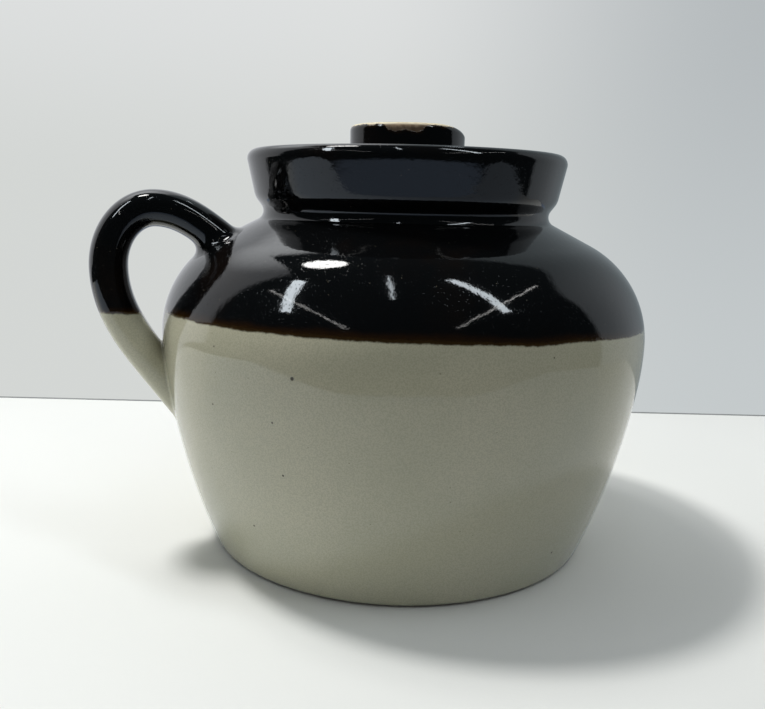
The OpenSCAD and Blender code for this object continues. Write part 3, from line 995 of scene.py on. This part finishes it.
def rounded_off(v):
    """How far a quarter round has fallen at this share of its width."""
    return 1 - math.sqrt(1 - max(0.0, min(0.995, v)) ** 2)


for vertex in knob.data.vertices:
    out = (vertex.co.dot(to_right) - WEAR_FROM) / WEAR_W
    high = (vertex.co.z - (knob_top - WEAR_DEPTH)) / WEAR_DEPTH
    vertex.co.z -= WEAR_DROP * rounded_off(out) * max(0.0, high) ** WEAR_FADE
print("knob rubbed down by up to", WEAR_DROP * 1000, "mm")
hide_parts("lid_knob")
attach(knob, "lid")

# %% [markdown]
# ## The sheet of paper
#
# The pot stands on a sheet of white paper whose far edge lies a hand's breadth behind it. It is
# one flat face, with a narrow darker strip for its far edge. The sheet gets darker towards the
# viewer's right, where less light falls. Light Path tells the rays apart: this shade is weak where
# the eye sees the paper itself, and strong where the glaze mirrors it or its light reaches the pot.

# %% Floor
SHEET_X, SHEET_Y = (-0.64, 0.56), (-0.295, 0.187)
EDGE_W = 0.0032
PAPER_LOW, PAPER_HIGH = rgb(0.80, 0.81, 0.79), rgb(0.84, 0.85, 0.83)
PAPER_DIM = rgb(0.04, 0.04, 0.045)
EDGE_LOW, EDGE_HIGH = rgb(0.16, 0.17, 0.17), rgb(0.30, 0.31, 0.31)
COOL_TINT = rgb(0.76, 0.85, 1.0)
# How far the shade goes, and how much less of it the eye and the glaze see
SHADE, LESS_SEEN, LESS_MIRRORED = 0.74, 0.70, 0.35
corners_xy = [(x, y) for y in (*SHEET_Y, SHEET_Y[1] + EDGE_W) for x in SHEET_X]
floor_mesh = bpy.data.meshes.new("floor")
floor_mesh.from_pydata([tuple(from_viewer(x, y, 0)) for x, y in corners_xy], [],
                       [(0, 1, 3, 2), (2, 3, 5, 4)])
floor = bpy.data.objects.new("floor", floor_mesh)
bpy.context.scene.collection.objects.link(floor)
paper, tree, shader, where = new_finish("paper")
fibre = noise(tree, where, 900.0, 2.0)
tone = blend_colours(tree, noise(tree, where, 6.0, 2.0), PAPER_LOW, PAPER_HIGH)
nearer = dot(tree, where, -level_ahead)
aside = calc(tree, "MULTIPLY", dot(tree, where, to_right), 0.6)
away = calc(tree, "MULTIPLY_ADD", nearer, 0.92, aside)
dim = rise(tree, away, 0.03, 0.33, SHADE)
rays = add(tree, "ShaderNodeLightPath").node.outputs
for kind, less in (("Is Camera Ray", LESS_SEEN), ("Is Glossy Ray", LESS_MIRRORED)):
    dim = calc(tree, "MULTIPLY", dim, calc(tree, "MULTIPLY_ADD", rays[kind], -less, 1.0))
tone = blend_colours(tree, dim, tone, PAPER_DIM)
# The glaze sees the near part of the paper in a painted cool light
cool = calc(tree, "MULTIPLY", rays["Is Glossy Ray"], rise(tree, nearer, -0.03, 0.10))
tone = blend_colours(tree, cool, tone, blend_colours(tree, 1.0, tone, COOL_TINT, "MULTIPLY"))
finish_with(tree, shader, tone, blend_values(tree, fibre, 0.75, 0.9),
            calc(tree, "MULTIPLY", fibre, 0.00004))
edge_shade, tree, shader, where = new_finish("sheet_edge")
shader.inputs["Roughness"].default_value = 0.9
tree.links.new(blend_colours(tree, noise(tree, where, 60.0), EDGE_LOW, EDGE_HIGH),
               shader.inputs["Base Color"])
floor_mesh.materials.append(paper)
floor_mesh.materials.append(edge_shade)
floor_mesh.polygons[1].material_index = 1
print("sheet", round(SHEET_X[1] - SHEET_X[0], 3), "by", round(SHEET_Y[1] - SHEET_Y[0], 3), "m")

# %% [markdown]
# ## The room
#
# A glossy black piece is drawn almost wholly by what stands round it. Modelled walls could do
# that, but they would shade one another and slow the render. So the world's colour is looked up by
# direction, and Light Path lets it play three parts: a plain pale backdrop for the eye, a soft
# even light for everything, and for the glaze a pale wall behind the pot and darkness before it.

# %% Room
DARK_ROOM, LOW_FRONT = rgb(0.020, 0.026, 0.030), rgb(0.31, 0.39, 0.52)
room = bpy.data.worlds.new("room")
room.use_nodes = True
bpy.context.scene.world = room
tree = room.node_tree
tree.nodes.clear()
look = add(tree, "ShaderNodeTexCoord", out="Generated")
behind = dot(tree, look, level_ahead)
beside = dot(tree, look, to_right)
above = dot(tree, look, (0, 0, 1))
aside = calc(tree, "ABSOLUTE", beside)
on_right = rise(tree, beside, -0.05, 0.05)
left_start = blend_values(tree, rise(tree, aside, 0.44, 0.54), 0.53, 0.14)
left_start = blend_values(tree, rise(tree, above, -0.14, -0.02), 0.45, left_start)
right_start = blend_values(tree, rise(tree, aside, 0.50, 0.80), 0.42, 0.12)
start = blend_values(tree, on_right, left_start, right_start)
lit = rise(tree, calc(tree, "SUBTRACT", behind, start), -0.02, 0.05)
glow_dir = tuple((level_ahead * 0.55 - to_right * 0.35 + Vector((0, 0, 0.76))).normalized())
glow = rise(tree, dot(tree, look, glow_dir), 0.92, 1.0)
left_wall = blend_colours(tree, glow, rgb(0.68, 0.70, 0.73), rgb(1.9, 1.95, 2.0))
right_wall = blend_colours(tree, rise(tree, aside, 0.5, 0.85), rgb(0.27, 0.31, 0.33),
                           rgb(0.44, 0.48, 0.51))
wall = blend_colours(tree, on_right, left_wall, right_wall)
mirrored = blend_colours(tree, lit, DARK_ROOM, wall)
mirrored = blend_colours(tree, rise(tree, above, -0.345, -0.315), LOW_FRONT, mirrored)
day = rise(tree, behind, 0.0, 0.3)
soft = blend_colours(tree, day, rgb(0.164, 0.165, 0.163), rgb(0.55, 0.57, 0.58))
left = blend_colours(tree, rise(tree, above, 0.0, 0.25), rgb(0.655, 0.675, 0.660),
                     rgb(0.730, 0.745, 0.745))
right = blend_colours(tree, rise(tree, above, -0.25, 0.25), rgb(0.555, 0.590, 0.600),
                      rgb(0.460, 0.490, 0.505))
backdrop = blend_colours(tree, rise(tree, beside, -0.05, 0.42), left, right)
rays = add(tree, "ShaderNodeLightPath").node.outputs
shown = blend_colours(tree, rays["Is Glossy Ray"], soft, mirrored)
shown = blend_colours(tree, rays["Is Camera Ray"], shown, backdrop)
light = add(tree, "ShaderNodeBackground", {"Color": shown, "Strength": 1.0})
end = tree.nodes.new("ShaderNodeOutputWorld")
tree.links.new(light, end.inputs[0])
print("room has", len(tree.nodes), "nodes")

# %% [markdown]
# ## Lamps
#
# The lamps hang over and behind the pot. Each is given by the directions in which its two ends
# are seen from the pot's shoulder, by its width, and by how bright its face is. The key lamp hangs
# closer than the others and throws the shadow. The glaze mirrors the round lamp in its place. The
# long lamps draw the streaks on the shoulder, and the fill beside them lights the clay.

# %% Lamps
SHOULDER = Vector((0, 0, 0.12))


def lamp(name, start, end, wide, bright, colour, shape="RECTANGLE", far=1.5, mirrored=True,
         lights=True):
    """A flat lamp between two directions, wide in degrees, bright as a surface."""
    a, b = (SHOULDER + Vector(d).normalized() * far for d in (start, end))
    middle = (a + b) / 2
    back = (middle - SHOULDER).normalized()
    x = (b - a).normalized()
    x = (x - back * x.dot(back)).normalized()
    data = bpy.data.lights.new(name, "AREA")
    data.shape = shape
    data.size = (b - a).length
    data.size_y = 2 * far * math.tan(math.radians(wide) / 2)
    face = data.size * data.size_y * (math.pi / 4 if shape == "ELLIPSE" else 1)
    data.energy = bright * math.pi * face
    data.color = colour
    obj = bpy.data.objects.new(name, data)
    obj.matrix_world = (Matrix.Translation(middle)
                        @ Matrix((x, back.cross(x), back)).transposed().to_4x4())
    obj.visible_camera = False
    obj.visible_glossy = mirrored
    obj.visible_diffuse = lights
    bpy.context.scene.collection.objects.link(obj)
    print(name, round(data.energy, 2), "W over", round(face, 3), "m2")


WHITE, COOL = (1.0, 0.99, 0.97), (0.86, 0.94, 1.0)
lamp("round_lamp", (-0.367, 0.352, 0.861), (-0.182, 0.269, 0.946), 10, 18, WHITE, "ELLIPSE")
lamp("key_lamp", (-0.445, 0.195, 0.875), (-0.31, 0.195, 0.93), 8, 132, WHITE, "ELLIPSE",
     far=1.05, mirrored=False)
lamp("long_lamp_left", (-0.539, 0.103, 0.836), (-0.808, -0.201, 0.553), 4.4, 14, COOL, lights=False)
lamp("left_fill", (-0.539, 0.103, 0.836), (-0.808, -0.201, 0.553), 4.4, 4.6, COOL, mirrored=False)
lamp("long_lamp_middle", (-0.097, -0.05, 0.994), (-0.197, -0.476, 0.857), 0.8, 12, COOL)
lamp("long_lamp_right", (0.203, -0.162, 0.966), (0.502, -0.586, 0.636), 3.4, 12, COOL)
lamp("thin_lamp_left", (-0.71, 0.126, 0.693), (-0.584, -0.656, 0.478), 0.32, 12, WHITE)
lamp("thin_lamp_right", (0.66, -0.098, 0.745), (0.149, -0.834, 0.531), 0.32, 12, WHITE)
lamp("short_lamp", (0.30, 0.51, 0.81), (0.36, 0.46, 0.81), 1.5, 9, COOL)

bpy.context.scene.view_settings.view_transform = "Standard"
